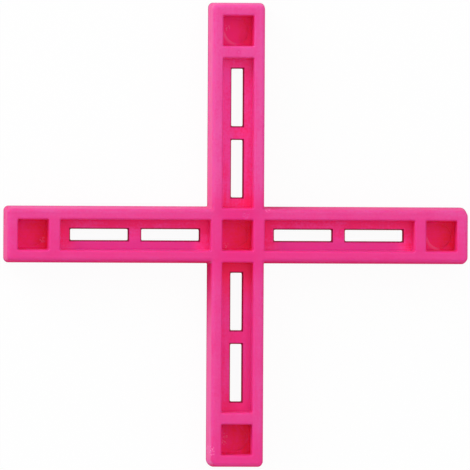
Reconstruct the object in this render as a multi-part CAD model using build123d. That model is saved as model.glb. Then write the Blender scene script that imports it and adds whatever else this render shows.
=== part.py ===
from build123d import *
import math
import os

# A reusable cross spacer that keeps the joints between four floor tiles even.
# It is one moulding: four equal arms with a raised rim, a recessed web in each arm
# with two slots through it, and a square pocket in the middle and at each tip, with
# a round well in the pocket's floor.
# The origin is the middle of the cross, on the plane it stands on. +Z is up to the rim.

# The whole cross, in millimetres
JOINT_WIDTH = 6.35              # widest part of an arm, at its foot: the joint it keeps
HEIGHT = 4.76                   # foot to rim
CHANNEL_LENGTH = 16.76          # recess between the two ribs of an arm, at the rim

# Walls, in millimetres
RIM_WALL = 1.18                 # flat of the rim, between the outer face and a recess
RIB = 1.27                      # cross rib between a channel and a pocket
WEB = 0.85                      # web that the slots go through
WEB_DROP = 2.04                 # rim down to the web
POCKET_DROP = 2.9               # rim down to the floor of a pocket
WELL_SINK = 0.3                 # pocket's floor down to the bottom of its well
WELL_LEDGE = 0.27               # least floor left between a well and the pocket's walls

# Slots through the web, in millimetres
SLOT_LENGTH = 6.4               # at the underside of the web
SLOT_WIDTH = 1.25               # at the underside of the web
SLOT_BRIDGE = 1.54              # web left between the slots of an arm, at its underside
SLOTS_PER_ARM = 2

# Draft of the moulding, in degrees
OUTER_DRAFT = 3.2               # outer faces lean in towards the rim
RECESS_DRAFT = 2.6              # recess walls close in towards the web
SLOT_DRAFT = 8.0                # slot walls close in towards the underside

# Rounded edges, in millimetres
TIP_CORNER = 0.55               # upright corners at the tips
EAST_TRIMMED_CORNER = 0.8       # +Y corner of the +X tip, rounder than the rest
SOUTH_TRIMMED_CORNER = 0.9      # -X corner of the -Y tip, rounder than the rest
CROSS_CORNER = 0.12             # inside corners where two arms meet
RIM_EDGE = 0.45                 # outer edge of the rim
FOOT_EDGE = 0.1                 # outer edge of the foot, broken by a small chamfer
MOUTH_EDGE = 0.22               # edges of the recesses at the rim
RECESS_CORNER = 0.16            # upright corners inside a recess
SLOT_CORNER = 0.14

# Shallow round scars that the mould left on two ribs of the +Y arm
SCAR_SINK = 0.06
GATE_RADIUS = 0.38              # beside the middle pocket, where the plastic was shot in
GATE_SIDE = 0.9                 # from the arm's centre line, to +X
PIN_RADIUS = 0.24               # in the middle of the outer rib

# Plan of an arm at the rim, from the middle of the cross outwards
OUTER_LEAN = HEIGHT * math.tan(math.radians(OUTER_DRAFT))
RECESS_WIDTH = JOINT_WIDTH - 2 * OUTER_LEAN - 2 * RIM_WALL
CHANNEL_START = RECESS_WIDTH / 2 + RIB
CHANNEL_MIDDLE = CHANNEL_START + CHANNEL_LENGTH / 2
POCKET_START = CHANNEL_START + CHANNEL_LENGTH + RIB
POCKET_MIDDLE = POCKET_START + RECESS_WIDTH / 2
FOOT_REACH = POCKET_START + RECESS_WIDTH + RIM_WALL + OUTER_LEAN
SLOT_PITCH = SLOT_LENGTH + SLOT_BRIDGE
ARM_ANGLES = (0, 90, 180, 270)
POCKET_MIDDLES = [(0, 0), (POCKET_MIDDLE, 0), (0, POCKET_MIDDLE), (-POCKET_MIDDLE, 0), (0, -POCKET_MIDDLE)]

# Levels above the foot, and the well in a pocket's floor
WEB_TOP = HEIGHT - WEB_DROP
WEB_BOTTOM = WEB_TOP - WEB
POCKET_FLOOR = HEIGHT - POCKET_DROP
WELL_RADIUS = RECESS_WIDTH / 2 - POCKET_DROP * math.tan(math.radians(RECESS_DRAFT)) - WELL_LEDGE


def is_upright(edge):
    """An edge that climbs from the foot to the rim, drafted or not."""
    return abs(edge.tangent_at(0.5).Z) > 0.5


def drafted_block(length, width, depth, draft):
    """Block with its full size at z = 0, closing in towards z = depth."""
    return extrude(Rectangle(length, width), amount=depth, taper=draft)


def bar(trimmed_end, trimmed_corner):
    """One straight bar of the cross, along X, with one rounder corner on its +Y side."""
    def is_trimmed(edge):
        place = edge @ 0.5
        return place.X * trimmed_end > 0 and place.Y > 0

    block = drafted_block(2 * FOOT_REACH, JOINT_WIDTH, HEIGHT, OUTER_DRAFT)
    block = fillet(block.edges().filter_by(is_upright).filter_by(is_trimmed), trimmed_corner)
    uprights = block.edges().filter_by(is_upright)
    return fillet([edge for edge in uprights if not is_trimmed(edge)], TIP_CORNER)


def solid_cross():
    """The cross before anything is cut from it."""
    def is_inside_corner(edge):
        place = edge @ 0.5
        return is_upright(edge) and max(abs(place.X), abs(place.Y)) < JOINT_WIDTH

    cross = bar(1, EAST_TRIMMED_CORNER) + Rot(Z=90) * bar(-1, SOUTH_TRIMMED_CORNER)
    cross = fillet(cross.edges().filter_by(is_inside_corner), CROSS_CORNER)
    rim = cross.faces().sort_by(Axis.Z)[-1]
    cross = fillet(rim.edges(), RIM_EDGE)
    foot = cross.faces().sort_by(Axis.Z)[0]
    return chamfer(foot.edges(), FOOT_EDGE)


def recess(length, width, depth, draft, corner):
    """Cutter with its mouth at z = 0, closing in towards its floor at z = depth."""
    block = drafted_block(length, width, depth, draft)
    return fillet(block.edges().filter_by(is_upright), corner)


def on_arms(cutter):
    """Copies of a cutter in the middle of each arm."""
    return [Rot(Z=angle) * Pos(CHANNEL_MIDDLE, 0, 0) * cutter for angle in ARM_ANGLES]


def channels():
    """Cutters for the long recesses at the rim, with their mouths at z = 0."""
    return on_arms(recess(CHANNEL_LENGTH, RECESS_WIDTH, WEB_DROP, RECESS_DRAFT, RECESS_CORNER))


def foot_channels():
    """Cutters for the sharp-cornered recesses under the webs, with their mouths at the foot."""
    return on_arms(drafted_block(CHANNEL_LENGTH, RECESS_WIDTH, WEB_BOTTOM, RECESS_DRAFT))


def pockets():
    """Cutters for the square pockets, with their mouths at z = 0."""
    pocket = recess(RECESS_WIDTH, RECESS_WIDTH, POCKET_DROP, RECESS_DRAFT, RECESS_CORNER)
    return [Pos(x, y, 0) * pocket for x, y in POCKET_MIDDLES]


def from_rim(cutters):
    """Turns cutters over, so that their mouths are at the rim."""
    return [Pos(0, 0, HEIGHT) * Rot(X=180) * cutter for cutter in cutters]


def wells():
    """Cutters for the shallow round wells, each into the floor of its pocket."""
    well = Cylinder(WELL_RADIUS, 2 * WELL_SINK)
    return [Pos(x, y, POCKET_FLOOR) * well for x, y in POCKET_MIDDLES]


def slots():
    """Cutters for the slots of all arms, wider at the top of the web."""
    flare = 2 * WEB * math.tan(math.radians(SLOT_DRAFT))
    slot = Rot(X=180) * recess(SLOT_LENGTH + flare, SLOT_WIDTH + flare, WEB, SLOT_DRAFT, SLOT_CORNER)
    places = GridLocations(SLOT_PITCH, 0, SLOTS_PER_ARM, 1)
    return [cutter for place in places for cutter in on_arms(Pos(0, 0, WEB_TOP) * place * slot)]


def round_mouths(cross):
    """Rounds the edges of every recess that opens in the rim."""
    rim = cross.faces().filter_by(Axis.Z).sort_by(Axis.Z)[-1]
    mouths = [edge for wire in rim.inner_wires() for edge in wire.edges()]
    return fillet(mouths, MOUTH_EDGE)


def scars():
    """Cutters for the two scars, the gate's on the inner rib and the pin's on the outer one."""
    inner_rib = CHANNEL_START - RIB / 2
    outer_rib = POCKET_START - RIB / 2
    gate = Pos(GATE_SIDE, inner_rib, HEIGHT) * Cylinder(GATE_RADIUS, 2 * SCAR_SINK)
    pin = Pos(0, outer_rib, HEIGHT) * Cylinder(PIN_RADIUS, 2 * SCAR_SINK)
    return [gate, pin]


def tile_spacer():
    """The finished spacer, one solid."""
    cross = solid_cross()
    cross -= from_rim(channels() + pockets())
    cross = round_mouths(cross)
    cross -= foot_channels()
    cross -= wells()
    cross -= slots()
    cross -= scars()
    return cross


os.makedirs("parts", exist_ok=True)
spacer = tile_spacer()
print(f"reach {FOOT_REACH:.2f} mm, volume {spacer.volume:.1f} mm3, {len(spacer.solids())} solid")
export_step(spacer, "parts/tile_spacer.step")
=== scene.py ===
import math

import bpy
from mathutils import Matrix, Vector


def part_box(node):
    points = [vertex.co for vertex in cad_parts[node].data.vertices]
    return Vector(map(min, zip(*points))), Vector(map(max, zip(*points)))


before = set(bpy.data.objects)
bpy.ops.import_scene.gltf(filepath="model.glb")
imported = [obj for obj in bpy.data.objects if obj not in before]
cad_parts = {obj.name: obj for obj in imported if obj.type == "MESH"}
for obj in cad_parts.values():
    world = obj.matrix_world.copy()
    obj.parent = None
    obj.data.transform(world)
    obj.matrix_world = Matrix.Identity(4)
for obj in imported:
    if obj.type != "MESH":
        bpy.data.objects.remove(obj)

bl_info = {
    "name": "Cross tile spacer",
    "version": (1, 0, 0),
    "blender": (4, 5, 0),
    "location": "View3D > Sidebar > Tile Spacer",
    "description": "Dresses a moulded cross spacer and sets it on a pale studio floor",
    "category": "Object",
}

MM = 0.001
SPACER = "tile_spacer"
FOOT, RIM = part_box(SPACER)
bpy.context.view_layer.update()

# Sizes of the moulding that its finish depends on, in millimetres
HEIGHT = RIM.z / MM
REACH = RIM.x / MM
HALF_ARM = 3.175
RIM_WALL = 1.18
WEB_DROP = 2.04             # rim down to the web
CHANNEL_MIDDLE = 11.38      # of the recess in an arm, from the middle of the cross
POCKET_PITCH = 22.76        # from one pocket's middle to the next one's
SLOT_OFFSET = 3.97          # middle of a slot from the middle of its channel
SLOT_HALF_LENGTH = 3.32     # at the top of the web
SLOT_HALF_WIDTH = 0.745

# Marks on the moulding, and painted glints, in millimetres from the middle of the cross
GATE = (0.9, 2.15)
GATE_RADIUS = 0.38
PIN = (0.0, 20.39)
PIN_RADIUS = 0.12
PIN_RING_RADIUS = 0.26
# Painted glints in the wells
WELL_GLINT_SPOTS = ((-21.6, -0.6), (-1.15, -1.1), (-1.15, -22.4), (-1.2, -23.1), (-1.1, 23.1))
# Painted glints on the rim
RIM_GLINT_SPOTS = ((-2.85, -23.7), (-2.75, -24.2), (3.35, 2.95))
GLINT_RADIUS = 0.32
SPOT_EDGE = 0.06            # half the width over which a round mark fades out

# Grain of the plastic's patterns, in millimetres
MOTTLE = 2.2                # soft patches of bloom
STREAK_WIDTH = 0.35         # lines that the melt left as it ran
STREAK_LENGTH = 5.0
SPECK = 0.3                 # fine speckle of the bloom
GATE_FLECK = 0.18           # torn plastic of the gate's scar
GLINT_FLECK = 0.16           # painted glints in the wells and on the rim
# The satin tool's own grain is about 0.05 mm, too fine to show, and is drawn four times as coarse
SATIN_GRAIN = 0.22
SATIN_DEPTH = 0.02
EDGE_HIGHLIGHT_RADIUS = 0.12          # how far from an edge the painted highlight reaches
LIT_SIDES = (-0.7, 0.7, 0.0)    # the way that the outer faces with painted sheen turn, towards the lamps: to -X and to +Y

# Bounds of a patch: a measure of the place, where the patch starts and where it is full
X_ARMS = ("arm", -1.5, 1.5)
Y_ARMS = ("arm", 1.5, -1.5)
BELOW_RIM = ("drop", 0.05, 0.5)
BEHIND_WALL = ("inwards", 0.5 * RIM_WALL, RIM_WALL)
BELOW_WEB = ("drop", WEB_DROP + 0.01, WEB_DROP + 0.06)
FOOT_EDGE = ("height", 0.75, 0.2)
FAR_SIDE = ("y", 2.0, 2.9)
WEB_ENDS = ("off_channel", 6.0, 7.8)
BETWEEN_WEB_ENDS = ("off_channel", 7.8, 6.0)
ALONG_SLOT = ("off_slot", SLOT_HALF_LENGTH + 0.06, SLOT_HALF_LENGTH - 0.02)
ACROSS_SLOT = ("across", SLOT_HALF_WIDTH + 0.06, SLOT_HALF_WIDTH - 0.02)
GLINT_FLECKED = ("glint_flecks", 0.54, 0.62)

# The photograph's frame, and where the middle of the cross lies in it, in pixels
FRAME_PIXELS = 470
MIDDLE_X_PIXEL = 237.9
MIDDLE_Y_PIXEL = 235.4

# Stage, with its places and sizes in metres
CAMERA_LEAN = (-0.063, 0.012, 1.0)  # the way from the rim to the camera
CAMERA_TURN = math.radians(0.29)    # of the picture about that line
SENSOR_MM = 36.0
LOW_SOFTBOX_PLACE = (-0.337, 0.337, 0.254)
LOW_SOFTBOX_SIZE = 0.3
HIGH_SOFTBOX_PLACE = (0.161, 0.161, 0.489)
HIGH_SOFTBOX_SIZE = 0.35
FLOOR_GAP = 0.02 * MM       # keeps the floor from flickering through the foot
FLOOR_GLOW = 0.95           # share of its own white in the floor; the rest is lit paper
CLIP_END = 10.0
WHITE = (1.0, 1.0, 1.0, 1.0)


def linear(hex_colour):
    """Linear RGBA of an sRGB hex colour."""
    channels = [int(hex_colour[i:i + 2], 16) / 255 for i in (0, 2, 4)]
    return [c / 12.92 if c <= 0.04045 else ((c + 0.055) / 1.055) ** 2.4 for c in channels] + [1.0]


class PlasticSettings(bpy.types.PropertyGroup):
    """Look of the moulded plastic."""
    colour: bpy.props.FloatVectorProperty(
        name="Plastic colour",
        description="Colour of the pigmented plastic near the middle of the cross",
        subtype="COLOR", size=4, min=0, max=1, default=linear("EB2286"))
    # Pale bloom of the rim, with painted sheen towards the lamps and painted highlights on its edges
    bloom_and_sheen_colour: bpy.props.FloatVectorProperty(
        name="Bloom colour",
        description="Paler skin of the rim, away from the middle of the cross",
        subtype="COLOR", size=4, min=0, max=1, default=linear("EB50A3"))
    # Painted shade: full colour of the outer faces that turn from the lamps
    shaded_side_colour: bpy.props.FloatVectorProperty(
        name="Side colour",
        description="Full colour of the outer faces that turn from the bloom",
        subtype="COLOR", size=4, min=0, max=1, default=linear("EC1268"))
    # Painted sheen of the outer faces that face the lamps
    side_sheen_colour: bpy.props.FloatVectorProperty(
        name="Side bloom colour",
        description="Pale skin of the other outer faces",
        subtype="COLOR", size=4, min=0, max=1, default=linear("F0609F"))
    # Painted shade: dark band along the foot, and a little on the +Y side of the X arms
    foot_shade_colour: bpy.props.FloatVectorProperty(
        name="Foot colour",
        description="Dull dark edge along the foot, where the two halves of the mould meet",
        subtype="COLOR", size=4, min=0, max=1, default=linear("AE2E68"))
    recess_colour: bpy.props.FloatVectorProperty(
        name="Recess colour",
        description="Fuller colour of the webs, where polished cores leave no bloom",
        subtype="COLOR", size=4, min=0, max=1, default=linear("FF50B2"))
    # Redder colour of the recesses: random patches, and painted shade where walls and ribs shade the webs
    shade_colour: bpy.props.FloatVectorProperty(
        name="Shade colour",
        description="Redder patches of the recesses and the ends of the webs",
        subtype="COLOR", size=4, min=0, max=1, default=linear("FF2E84"))
    # Painted shade that dulls the recesses away from the lamps
    dull_shade_colour: bpy.props.FloatVectorProperty(
        name="Dull recess colour",
        description="Duller recesses: the -Y side of the X arms and most of the -Y arm",
        subtype="COLOR", size=4, min=0, max=1, default=linear("EA3E9E"))
    # Painted shade: redder colour of everything below the webs, the pocket floors and their wells
    pocket_floor_shade_colour: bpy.props.FloatVectorProperty(
        name="Deep colour",
        description="Full colour below the webs: the pocket floors and their wells",
        subtype="COLOR", size=4, min=0, max=1, default=linear("FF2E98"))
    deep_shade_colour: bpy.props.FloatVectorProperty(
        name="Deep shade colour",
        description="Fullest colour: redder patches of the pocket floors, and the start of the -Y arm's recess",
        subtype="COLOR", size=4, min=0, max=1, default=linear("FC225E"))
    # Painted highlights: pale arcs and glints in the wells, and glints on the rim
    glint_colour: bpy.props.FloatVectorProperty(
        name="Glint colour",
        description="Pale arcs and tool marks in the wells, and nicks on the rim",
        subtype="COLOR", size=4, min=0, max=1, default=linear("FF8CC8"))
    # Painted shade: dark crimson of the slot walls and a thin band round them
    slot_shade_colour: bpy.props.FloatVectorProperty(
        name="Slot colour",
        description="Dark crimson of the slot walls, where the two halves of the mould shut on each other",
        subtype="COLOR", size=4, min=0, max=1, default=linear("B4164E"))
    rim_roughness: bpy.props.FloatProperty(
        name="Rim roughness",
        description="Roughness of the satin rim",
        subtype="FACTOR", min=0, max=1, default=0.56)
    side_roughness: bpy.props.FloatProperty(
        name="Side roughness",
        description="Roughness of the duller outer faces and of the slot walls",
        subtype="FACTOR", min=0, max=1, default=0.85)
    recess_roughness: bpy.props.FloatProperty(
        name="Recess roughness",
        description="Roughness of the smoother recesses",
        subtype="FACTOR", min=0, max=1, default=0.34)
    scatter_depth: bpy.props.FloatProperty(
        name="Scatter depth",
        description="How far red light spreads inside the plastic",
        subtype="DISTANCE", unit="LENGTH", min=0, default=0.5 * MM)


class StageSettings(bpy.types.PropertyGroup):
    """Floor, lights and camera."""
    floor_size: bpy.props.FloatProperty(
        name="Floor size",
        description="Side of the square floor",
        subtype="DISTANCE", unit="LENGTH", min=0.1, default=3.0)
    camera_distance: bpy.props.FloatProperty(
        name="Camera distance",
        description="From the rim to the camera",
        subtype="DISTANCE", unit="LENGTH", min=0.1, default=0.975)
    frame_width: bpy.props.FloatProperty(
        name="Frame width",
        description="Width of the picture at the rim",
        subtype="DISTANCE", unit="LENGTH", min=0.01, default=52.27 * MM)
    low_power: bpy.props.FloatProperty(
        name="Low power",
        description="Power of the low softbox beyond the far left corner",
        subtype="POWER", unit="POWER", min=0, default=1.17)
    high_power: bpy.props.FloatProperty(
        name="High power",
        description="Power of the high softbox towards the far right corner",
        subtype="POWER", unit="POWER", min=0, default=0.48)
    fill_level: bpy.props.FloatProperty(
        name="Fill level",
        description="Strength of the even light from all around",
        min=0, default=0.68)


def add_node(tree, kind, links=None, **settings):
    """Adds a node, sets its properties, then its sockets by links.

    A link is a value, another node's socket, or a node, which stands for its first output in use.
    """
    node = tree.nodes.new(kind)
    for name, value in settings.items():
        setattr(node, name, value)
    for socket, source in (links or {}).items():
        if isinstance(source, bpy.types.Node):
            source = next(output for output in source.outputs if output.enabled)
        if isinstance(source, bpy.types.NodeSocket):
            tree.links.new(source, node.inputs[socket])
        else:
            node.inputs[socket].default_value = source
    return node


def new_material(name):
    """An empty node material and its tree."""
    material = bpy.data.materials.new(name)
    material.use_nodes = True
    material.node_tree.nodes.clear()
    return material, material.node_tree


def patches(tree, place, *parts):
    """Share of a finish over the surface, the sum of soft-edged patches.

    Each part is a strength and the bounds that it fades in by: a measure of the place, where it starts and
    where it is full, and LINEAR where the whole way between them is even.
    """
    total = None
    for strength, *bounds in parts:
        share = strength
        for measure, start, full, *fade in bounds:
            measured = place[measure] if isinstance(measure, str) else measure
            share = add_node(tree, "ShaderNodeMapRange", {
                "Value": measured, "From Min": start, "From Max": full, "To Max": share,
            }, interpolation_type=fade[0] if fade else "SMOOTHSTEP")
        if total is not None:
            share = add_node(tree, "ShaderNodeMath", {0: total, 1: share}, operation="ADD")
        total = share
    return total


def spots(tree, place, strength, middles, radius, *bounds):
    """Parts of a share that are round spots in the plan, one around each middle."""
    parts = []
    for x, y in middles:
        distance = add_node(tree, "ShaderNodeVectorMath", {
            0: place["plan"], 1: (x, y, 0.0)}, operation="DISTANCE")
        parts.append((strength, (distance, radius + SPOT_EDGE, radius - SPOT_EDGE), *bounds))
    return parts


def lay_over(tree, base, *layers):
    """Starts from a colour or number and lays each layer over it, a share and a colour or number."""
    kind = "FLOAT" if isinstance(base, float) else "RGBA"
    for share, value in layers:
        base = add_node(tree, "ShaderNodeMix", {"Factor": share, "A": base, "B": value}, data_type=kind)
    return base


def measure_place(tree):
    """What the finish depends on at a point, all in millimetres: its place on its arm and in its pocket."""
    coordinates = add_node(tree, "ShaderNodeTexCoord")
    point = add_node(tree, "ShaderNodeVectorMath", {
        0: coordinates.outputs["Object"], "Scale": 1 / MM}, operation="SCALE")
    apart = add_node(tree, "ShaderNodeSeparateXYZ", {0: point})
    place = {"point": point, "x": apart.outputs["X"], "y": apart.outputs["Y"], "height": apart.outputs["Z"]}
    steps = (
        ("drop", "SUBTRACT", HEIGHT, "height"),
        ("x_size", "ABSOLUTE", "x", 0.0),
        ("y_size", "ABSOLUTE", "y", 0.0),
        ("arm", "SUBTRACT", "x_size", "y_size"),
        ("along", "MAXIMUM", "x_size", "y_size"),
        ("across", "MINIMUM", "x_size", "y_size"),
        ("from_side", "SUBTRACT", HALF_ARM, "across"),
        ("from_tip", "SUBTRACT", REACH, "along"),
        ("inwards", "MINIMUM", "from_side", "from_tip"),
        ("past_channel", "SUBTRACT", "along", CHANNEL_MIDDLE),
        ("off_channel", "ABSOLUTE", "past_channel", 0.0),
        ("past_slot", "SUBTRACT", "off_channel", SLOT_OFFSET),
        ("off_slot", "ABSOLUTE", "past_slot", 0.0),
    )
    for name, operation, first, second in steps:
        place[name] = add_node(tree, "ShaderNodeMath", {
            0: place.get(first, first), 1: place.get(second, second)}, operation=operation)
    place["facing"] = add_node(tree, "ShaderNodeVectorMath", {
        0: coordinates.outputs["Normal"], 1: LIT_SIDES}, operation="DOT_PRODUCT")
    place["plan"] = add_node(tree, "ShaderNodeVectorMath", {0: point, 1: (1.0, 1.0, 0.0)}, operation="MULTIPLY")
    half = POCKET_PITCH / 2
    from_pocket = add_node(tree, "ShaderNodeVectorMath", {
        0: place["plan"], 1: (half, half, half), 2: (-half, -half, -half)}, operation="WRAP")
    place["pocket_x"] = add_node(tree, "ShaderNodeSeparateXYZ", {0: from_pocket})
    place["pocket_corner"] = add_node(tree, "ShaderNodeVectorMath", {
        0: from_pocket, 1: (1.0, 1.0, 0.0)}, operation="DOT_PRODUCT")
    place["from_well"] = add_node(tree, "ShaderNodeVectorMath", {0: from_pocket}, operation="LENGTH")
    return place


def measure_grain(tree, place):
    """Adds to the measures of the place how uneven the plastic is there, and where its edges are, for the
    painted highlight along them.
    """
    for name, grain, detail in (("mottle", MOTTLE, 3.0), ("specks", SPECK, 1.0),
                                ("gate_flecks", GATE_FLECK, 1.0), ("glint_flecks", GLINT_FLECK, 1.0)):
        place[name] = add_node(tree, "ShaderNodeTexNoise", {
            "Vector": place["point"], "Scale": 1 / grain, "Detail": detail, "Roughness": 0.55})
    wide, long = 1 / STREAK_WIDTH, 1 / STREAK_LENGTH
    for name, scale in (("x_streaks", (long, wide, wide)), ("y_streaks", (wide, long, wide))):
        drawn_out = add_node(tree, "ShaderNodeMapping", {"Vector": place["point"], "Scale": scale})
        place[name] = add_node(tree, "ShaderNodeTexNoise", {
            "Vector": drawn_out, "Scale": 1.0, "Detail": 2.0, "Roughness": 0.6})
    sum_of_all = patches(tree, place, (place["mottle"],), (place["specks"],),
                         (place["x_streaks"], X_ARMS), (place["y_streaks"], Y_ARMS))
    place["uneven"] = add_node(tree, "ShaderNodeMapRange", {
        "Value": sum_of_all, "From Min": 1.1, "From Max": 1.9, "To Min": 0.6, "To Max": 1.4})
    # A bevel turns the surface only next to an edge, so the angle between the two shows the edges
    bevel = add_node(tree, "ShaderNodeBevel", {"Radius": EDGE_HIGHLIGHT_RADIUS * MM}, samples=4)
    surface = add_node(tree, "ShaderNodeNewGeometry")
    place["edge_turn"] = add_node(tree, "ShaderNodeVectorMath", {
        0: bevel, 1: surface.outputs["Normal"]}, operation="DOT_PRODUCT")


def zones(tree, place):
    """Shares of the faces that the mould finishes in its own way, and of the painted shade at the foot, on the
    slot walls and below the webs; where none is 1, it is the rim.
    """
    return {
        "side": patches(tree, place, (1.0, BELOW_RIM)),
        # Painted shade along the foot, and a little darker towards +Y on the X arms
        "foot": add_node(tree, "ShaderNodeMath", {
            0: patches(tree, place, (1.0, BELOW_RIM, FOOT_EDGE)),
            1: patches(tree, place, (0.15, X_ARMS, FAR_SIDE))}, operation="MAXIMUM"),
        "recess": patches(tree, place, (1.0, BELOW_RIM, BEHIND_WALL)),
        "deep": patches(tree, place, (1.0, BEHIND_WALL, BELOW_WEB)),
        # Painted shade on the slot walls and a thin band round them
        "slot": patches(tree, place, (1.0, BELOW_RIM, BEHIND_WALL, ALONG_SLOT, ACROSS_SLOT)),
    }


def rim_bloom_and_sheen(tree, place):
    """Share of the rim's pale bloom and painted sheen, with painted highlights along its edges and the scars of
    the gate and the pin.

    The bloom is stronger away from the gate and near the outline. The photographed part has more of it on
    the two Y arms than on the X arms, and more on its +Y side. The share near the outline and towards +Y is
    painted sheen from the lamps on the +Y side.
    """
    # On the X arms it starts nearer to the middle, and the more so towards -X
    place["bloom_start"] = patches(
        tree, place, (place["along"],), (7.9, X_ARMS), (-10.4, X_ARMS, ("x", -26.0, 26.0, "LINEAR")))
    # Painted sheen: more towards +Y, where the lamps are
    share = patches(
        tree, place, (0.53,), (-0.28, X_ARMS), (0.34, ("y", -2.8, 2.8, "LINEAR")), (-0.04, ("x", 3.0, 6.0)),
        (0.16, ("x", 20.0, 25.0)), (-0.3, ("y", -20.0, -25.0)), (-0.12, ("y", 23.0, 25.0)))
    # Painted sheen: paler near the outline
    near_outline = patches(tree, place, (0.75,), (0.5, ("inwards", 1.4, 0.3, "LINEAR")))
    for factor in (near_outline, place["uneven"], patches(tree, place, (1.0, ("bloom_start", 1.6, 6.8)))):
        share = add_node(tree, "ShaderNodeMath", {0: share, 1: factor}, operation="MULTIPLY")
    share.use_clamp = True
    return patches(
        # Painted highlights along the rim's edges
        tree, place, (share,), (0.35, ("edge_turn", 0.995, 0.93)),
        *spots(tree, place, 1.0, [GATE], GATE_RADIUS, ("gate_flecks", 0.5, 0.62)),
        *spots(tree, place, 0.9, [PIN], PIN_RADIUS), *spots(tree, place, -0.35, [PIN], PIN_RING_RADIUS))


def side_sheen(tree, place):
    """Share of painted sheen on the outer faces: those that face -X or +Y, towards the lamps, but not the start
    of the -Y arm, left in the painted shadow of the -X arm.
    """
    plainer = patches(tree, place, (1.0,), (-0.3, ("x", 2.9, 4.0)), (-0.3, ("x", -25.0, -25.6)))
    calmer = patches(tree, place, (0.85,), (0.25, ("uneven", 0.6, 1.4, "LINEAR")))
    strength = add_node(tree, "ShaderNodeMath", {0: plainer, 1: calmer}, operation="MULTIPLY")
    # Painted sheen on faces turned to -X and +Y, with painted shadow at the start of the -Y arm
    facing = ("facing", -0.4, 0.3)
    return patches(tree, place, (strength, facing, ("y", -3.25, -2.95)), (strength, facing, ("y", -3.2, -12.5)))


def web_shade(tree, place):
    """Share of the redder shade colour in the recesses: random patches, and painted shade at the ends of the
    webs, on the X arms towards +Y, and on the Y arms towards +X and -Y.
    """
    return patches(
        tree, place, (1.1, ("uneven", 1.4, 0.6, "LINEAR")), (0.38, WEB_ENDS),
        (-0.5, X_ARMS), (1.0, X_ARMS, ("y", -1.7, 1.7, "LINEAR")),
        (-0.04, Y_ARMS), (0.6, Y_ARMS, ("x", -1.8, 1.8, "LINEAR")),
        (-0.52, Y_ARMS, ("y", -26.0, 26.0, "LINEAR")), (-0.15, Y_ARMS, ("y", 2.9, 6.0)))


def web_dull_shade(tree, place):
    """Share of painted shade that dulls the recesses: on the X arms towards -Y between the webs' ends, and on
    the -Y arm.
    """
    down_the_arm = ("y", -2.9, -3.4)
    return patches(
        tree, place, (1.0, X_ARMS, BETWEEN_WEB_ENDS, ("y", 0.3, -1.1)),
        (0.25, down_the_arm), (0.4, down_the_arm, ("x", -1.4, 1.4)))


def web_start_shade(tree, place):
    """Share of painted shade at the start of the -Y arm's recess, next to the middle pocket, whose rib shades
    it.
    """
    return patches(tree, place, (0.75, ("y", -2.5, -3.2), ("y", -9.0, -3.8)))


def pocket_shade(tree, place):
    """Share of the redder pocket colour: random patches, and painted shade that grows towards +X in each pocket
    and is less at the +Y tip, nearer the lamps.
    """
    return patches(
        tree, place, (-0.15,), (0.7, ("uneven", 1.4, 0.6, "LINEAR")),
        (0.8, ("pocket_x", -1.8, 1.8, "LINEAR")), (-0.4, ("y", 19.0, 21.0)))


def well_glints(tree, place):
    """Share of painted highlights: the pale arcs on the ledges of two tips' wells, and glints in the wells."""
    arc = (("from_well", 1.29, 1.35), ("from_well", 1.75, 1.42), ("pocket_corner", -1.3, -1.9))
    return patches(
        tree, place, (0.4, *arc, ("x", 19.0, 21.0)), (0.4, *arc, ("y", 19.0, 21.0)),
        *spots(tree, place, 0.6, WELL_GLINT_SPOTS, GLINT_RADIUS, GLINT_FLECKED))


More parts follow.
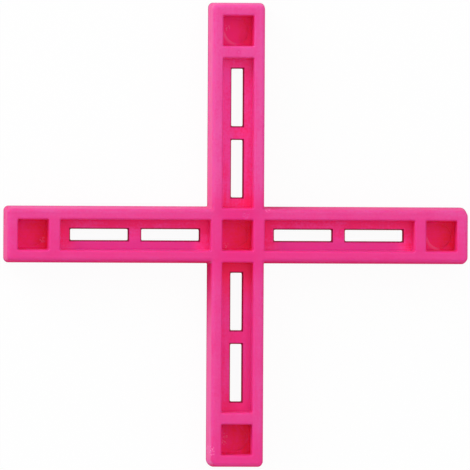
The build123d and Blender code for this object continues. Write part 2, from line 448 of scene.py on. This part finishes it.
def moulded_polypropylene(settings):
    """Pigmented polypropylene, injection-moulded in a satin tool.

    To the eye that is a satin skin with a fine grain and a little depth, and a pale bloom in patches and in
    streaks along the arms where the melt ran, with painted sheen over it towards the lamps and painted
    highlights on its edges. The recesses are smoother, because their cores were polished; their redder patches
    are partly random and partly painted shade, and their duller colour, the redder pocket floors, the dark
    slot walls and the dark foot are painted shade. Painted sheen lights the outer faces that face the lamps,
    and painted glints the wells and the rim.
    """
    material, tree = new_material("moulded_polypropylene_hot_pink")
    place = measure_place(tree)
    measure_grain(tree, place)
    shares = zones(tree, place)
    # Outer faces: painted shade, with painted sheen on those that face the lamps
    side = lay_over(tree, settings.shaded_side_colour, (side_sheen(tree, place), settings.side_sheen_colour))
    # Webs: painted shade in redder patches, duller away from the lamps, and at the start of the -Y arm
    web = lay_over(
        tree, settings.recess_colour, (web_shade(tree, place), settings.shade_colour),
        (web_dull_shade(tree, place), settings.dull_shade_colour), (web_start_shade(tree, place), settings.deep_shade_colour))
    # Pockets: painted shade below the webs, with painted highlights in the wells
    pocket = lay_over(
        tree, settings.pocket_floor_shade_colour, (pocket_shade(tree, place), settings.deep_shade_colour),
        (well_glints(tree, place), settings.glint_colour))
    # Painted glints on the rim
    rim_glints = patches(tree, place, *spots(tree, place, 0.6, RIM_GLINT_SPOTS, GLINT_RADIUS, GLINT_FLECKED))
    satin = add_node(tree, "ShaderNodeTexNoise", {
        "Vector": place["point"], "Scale": 1 / SATIN_GRAIN, "Detail": 2.0, "Roughness": 0.5})
    relief = add_node(tree, "ShaderNodeBump", {
        "Height": satin, "Strength": 0.25, "Distance": SATIN_DEPTH * MM})
    shader = add_node(tree, "ShaderNodeBsdfPrincipled", {
        # Over the plastic: bloom with painted sheen, outer faces, painted shade at the foot, webs, pockets,
        # painted shade on the slot walls, painted glints on the rim
        "Base Color": lay_over(
            tree, settings.colour, (rim_bloom_and_sheen(tree, place), settings.bloom_and_sheen_colour), (shares["side"], side),
            (shares["foot"], settings.foot_shade_colour), (shares["recess"], web), (shares["deep"], pocket),
            (shares["slot"], settings.slot_shade_colour), (rim_glints, settings.glint_colour)),
        "Roughness": lay_over(
            tree, settings.rim_roughness, (shares["side"], settings.side_roughness),
            (shares["recess"], settings.recess_roughness), (shares["slot"], settings.side_roughness)),
        "IOR": 1.49,
        # The satin rim mirrors its surroundings more than the sides, the recesses and the slots do
        "Specular IOR Level": lay_over(
            tree, 0.3, (shares["side"], 0.1), (shares["recess"], 0.1), (shares["slot"], 0.1)),
        "Normal": relief,
        # Half of the light goes into the plastic, where red travels furthest
        "Subsurface Weight": 0.5,
        "Subsurface Radius": (1.0, 0.25, 0.45),
        "Subsurface Scale": settings.scatter_depth,
    })
    add_node(tree, "ShaderNodeOutputMaterial", {"Surface": shader})
    return material


def seen_directly(tree):
    """1 for rays that show the white surroundings: straight, mirrored or through something clear."""
    ray = add_node(tree, "ShaderNodeLightPath")
    seen = ray.outputs["Is Camera Ray"]
    for name in ("Is Glossy Ray", "Is Transmission Ray"):
        seen = add_node(tree, "ShaderNodeMath", {0: seen, 1: ray.outputs[name]}, operation="MAXIMUM")
    return seen


def studio_floor():
    """Matt white paper sweep, burnt out almost to white by its own light."""
    material, tree = new_material("white_paper_sweep")
    paper = add_node(tree, "ShaderNodeBsdfDiffuse", {"Color": linear("F4F4F4")})
    glow = add_node(tree, "ShaderNodeEmission", {"Color": WHITE, "Strength": 1.0})
    share = add_node(tree, "ShaderNodeMath", {0: seen_directly(tree), 1: FLOOR_GLOW}, operation="MULTIPLY")
    mixed = add_node(tree, "ShaderNodeMixShader", {"Fac": share, 1: paper, 2: glow})
    add_node(tree, "ShaderNodeOutputMaterial", {"Surface": mixed})
    return material


class SPACER_OT_dress(bpy.types.Operator):
    """Give the spacer its moulded plastic"""
    bl_idname = "spacer.dress"
    bl_label = "Dress the spacer"

    def execute(self, context):
        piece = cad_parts[SPACER]
        piece.data.materials.clear()
        piece.data.materials.append(moulded_polypropylene(context.scene.spacer_plastic))
        return {"FINISHED"}


class SPACER_OT_stage(bpy.types.Operator):
    """Set the floor, the lights, the world and the camera"""
    bl_idname = "spacer.stage"
    bl_label = "Set the stage"

    def execute(self, context):
        settings = context.scene.spacer_stage
        self.lay_floor(context, settings)
        self.hang_lamp(context, "low_softbox", LOW_SOFTBOX_PLACE, LOW_SOFTBOX_SIZE, settings.low_power)
        self.hang_lamp(context, "high_softbox", HIGH_SOFTBOX_PLACE, HIGH_SOFTBOX_SIZE, settings.high_power)
        self.fill_world(context, settings)
        self.place_camera(context, settings)
        return {"FINISHED"}

    def lay_floor(self, context, settings):
        half = settings.floor_size / 2
        mesh = bpy.data.meshes.new("floor")
        corners = [(-half, -half, 0), (half, -half, 0), (half, half, 0), (-half, half, 0)]
        mesh.from_pydata(corners, [], [(0, 1, 2, 3)])
        floor = bpy.data.objects.new("floor", mesh)
        context.scene.collection.objects.link(floor)
        floor.location.z = FOOT.z - FLOOR_GAP
        floor.data.materials.append(studio_floor())

    def hang_lamp(self, context, name, place, size, power):
        light = bpy.data.lights.new(name, "AREA")
        light.shape = "SQUARE"
        light.size = size
        light.energy = power
        lamp = bpy.data.objects.new(name, light)
        lamp.location = place
        lamp.rotation_euler = (-lamp.location).to_track_quat("-Z", "Y").to_euler()
        lamp.visible_camera = False
        context.scene.collection.objects.link(lamp)

    def fill_world(self, context, settings):
        world = bpy.data.worlds.new("studio")
        context.scene.world = world
        world.use_nodes = True
        tree = world.node_tree
        tree.nodes.clear()
        level = lay_over(tree, settings.fill_level, (seen_directly(tree), 1.0))
        background = add_node(tree, "ShaderNodeBackground", {"Color": WHITE, "Strength": level})
        add_node(tree, "ShaderNodeOutputWorld", {"Surface": background})

    def place_camera(self, context, settings):
        lens = bpy.data.cameras.new("camera")
        camera = bpy.data.objects.new("camera", lens)
        context.scene.collection.objects.link(camera)
        context.scene.camera = camera
        lens.sensor_width = SENSOR_MM
        lens.lens = SENSOR_MM * settings.camera_distance / settings.frame_width
        lens.clip_end = CLIP_END
        pixel = settings.frame_width / FRAME_PIXELS
        frame_middle = FRAME_PIXELS / 2
        aim = Vector((
            (frame_middle - MIDDLE_X_PIXEL) * pixel,
            (MIDDLE_Y_PIXEL - frame_middle) * pixel,
            RIM.z,
        ))
        back = Vector(CAMERA_LEAN).normalized()
        up = Vector((-math.sin(CAMERA_TURN), math.cos(CAMERA_TURN), 0))
        right = up.cross(back).normalized()
        matrix = Matrix((right, back.cross(right), back)).transposed().to_4x4()
        matrix.translation = aim + back * settings.camera_distance
        camera.matrix_world = matrix


class SPACER_PT_panel(bpy.types.Panel):
    """Lists the sizes, colours and steps in the sidebar"""
    bl_label = "Tile Spacer"
    bl_space_type = "VIEW_3D"
    bl_region_type = "UI"
    bl_category = "Tile Spacer"

    def draw(self, context):
        layout = self.layout
        for settings in (context.scene.spacer_plastic, context.scene.spacer_stage):
            for name in settings.__annotations__:
                layout.prop(settings, name)
        for operator in OPERATORS:
            layout.operator(operator.bl_idname)


GROUPS = (PlasticSettings, StageSettings)
OPERATORS = (SPACER_OT_dress, SPACER_OT_stage)


def register():
    for kind in GROUPS + OPERATORS + (SPACER_PT_panel,):
        bpy.utils.register_class(kind)
    bpy.types.Scene.spacer_plastic = bpy.props.PointerProperty(type=PlasticSettings)
    bpy.types.Scene.spacer_stage = bpy.props.PointerProperty(type=StageSettings)


def unregister():
    del bpy.types.Scene.spacer_stage
    del bpy.types.Scene.spacer_plastic
    for kind in reversed(GROUPS + OPERATORS + (SPACER_PT_panel,)):
        bpy.utils.unregister_class(kind)


def main():
    register()
    bpy.context.scene.view_settings.view_transform = "Standard"
    bpy.ops.spacer.dress()
    bpy.ops.spacer.stage()


if __name__ == "__main__":
    main()
